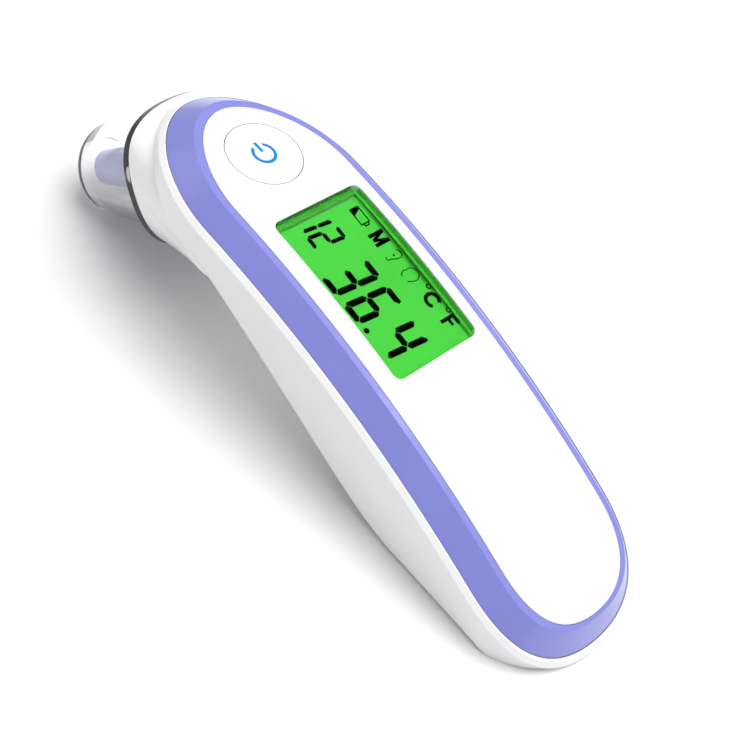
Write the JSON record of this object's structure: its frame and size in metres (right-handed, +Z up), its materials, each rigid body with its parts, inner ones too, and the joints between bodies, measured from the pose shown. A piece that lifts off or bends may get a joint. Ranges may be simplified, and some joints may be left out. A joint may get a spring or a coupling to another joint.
{
  "type": "digital ear thermometer",
  "caption": "Ear thermometer: arched white handle with a coloured ring, a display window and a power button, a tapered probe under a clear cap, and a sliding battery door.",
  "frame": {"origin": "on the table plane, under the centre of the bounding box", "axes": "+Z up with the thermometer lying on the flat of its back and the end of its probe cap; +X from the head to the tail; +Y across the handle, to the left of a viewer who faces along +X"},
  "size_m": [0.1532, 0.0436, 0.0432],
  "materials": {
    "white_gloss": "gloss",
    "periwinkle": "gloss",
    "clear_plastic": "polished",
    "window_plastic": "polished",
    "symbol_blue": "gloss",
    "lcd_green": "gloss",
    "diffuser_green": "satin",
    "rubber_grey": "matte",
    "board_green": "satin",
    "chip_black": "matte",
    "steel": "satin",
    "brass_gold": "polished",
    "inner_white": "matte",
    "lead_amber": "satin",
    "cell_wrap": "gloss",
    "ceramic": "matte",
    "infrared_window": "polished"
  },
  "bodies": {
    "housing": {"accent_ring": "periwinkle", "backlight_guide": "diffuser_green", "battery_cell_far": "cell_wrap", "battery_cell_near": "cell_wrap", "battery_contacts": "steel", "battery_springs": "steel", "battery_tray": "inner_white", "board_capacitors": "ceramic", "board_screws": "steel", "button_switch": "chip_black", "buzzer": "brass_gold", "cap_switch": "chip_black", "contact_strips": "rubber_grey", "controller_chip": "chip_black", "front_panel": "white_gloss", "housing_screws": "steel", "lcd_frame": "inner_white", "lcd_glass": "lcd_green", "lcd_window": "window_plastic", "lead_connector": "inner_white", "main_board": "board_green", "memory_chip": "chip_black", "probe_flange": "inner_white", "probe_nose": "periwinkle", "rear_shell": "white_gloss", "sensor_can": "steel", "sensor_lead": "lead_amber", "sensor_sleeve": "brass_gold", "sensor_window": "infrared_window", "timing_crystal": "steel", "wave_guide": "brass_gold"},
    "power_button": {"power_button": "white_gloss", "power_symbol": "symbol_blue", "switch_plunger": "inner_white"},
    "probe_cap": {"probe_cap": "clear_plastic"},
    "battery_door": {"battery_door": "white_gloss"},
    "cap_plunger": {"cap_plunger": "inner_white"}
  },
  "joints": [
    {"name": "power_button_press", "type": "slide", "parent": "housing", "child": "power_button", "axis": [-0.1009, 0, -0.9949], "range_m": [0, 0.00045], "stiffness_N_per_m": 1500},
    {"name": "probe_cap_pull", "type": "slide", "parent": "housing", "child": "probe_cap", "axis": [-0.7851, 0, -0.6194], "range_m": [0, 0.04]},
    {"name": "battery_door_slide", "type": "slide", "parent": "housing", "child": "battery_door", "axis": [0.9289, 0, -0.3702], "range_m": [0, 0.045]},
    {"name": "cap_plunger_slide", "type": "slide", "parent": "housing", "child": "cap_plunger", "axis": [-0.7851, 0, -0.6194], "range_m": [0, 0.0008]}
  ],
  "couplings": [
    {"joint": "cap_plunger_slide", "follows": "probe_cap_pull", "ratio": 0.02}
  ]
}
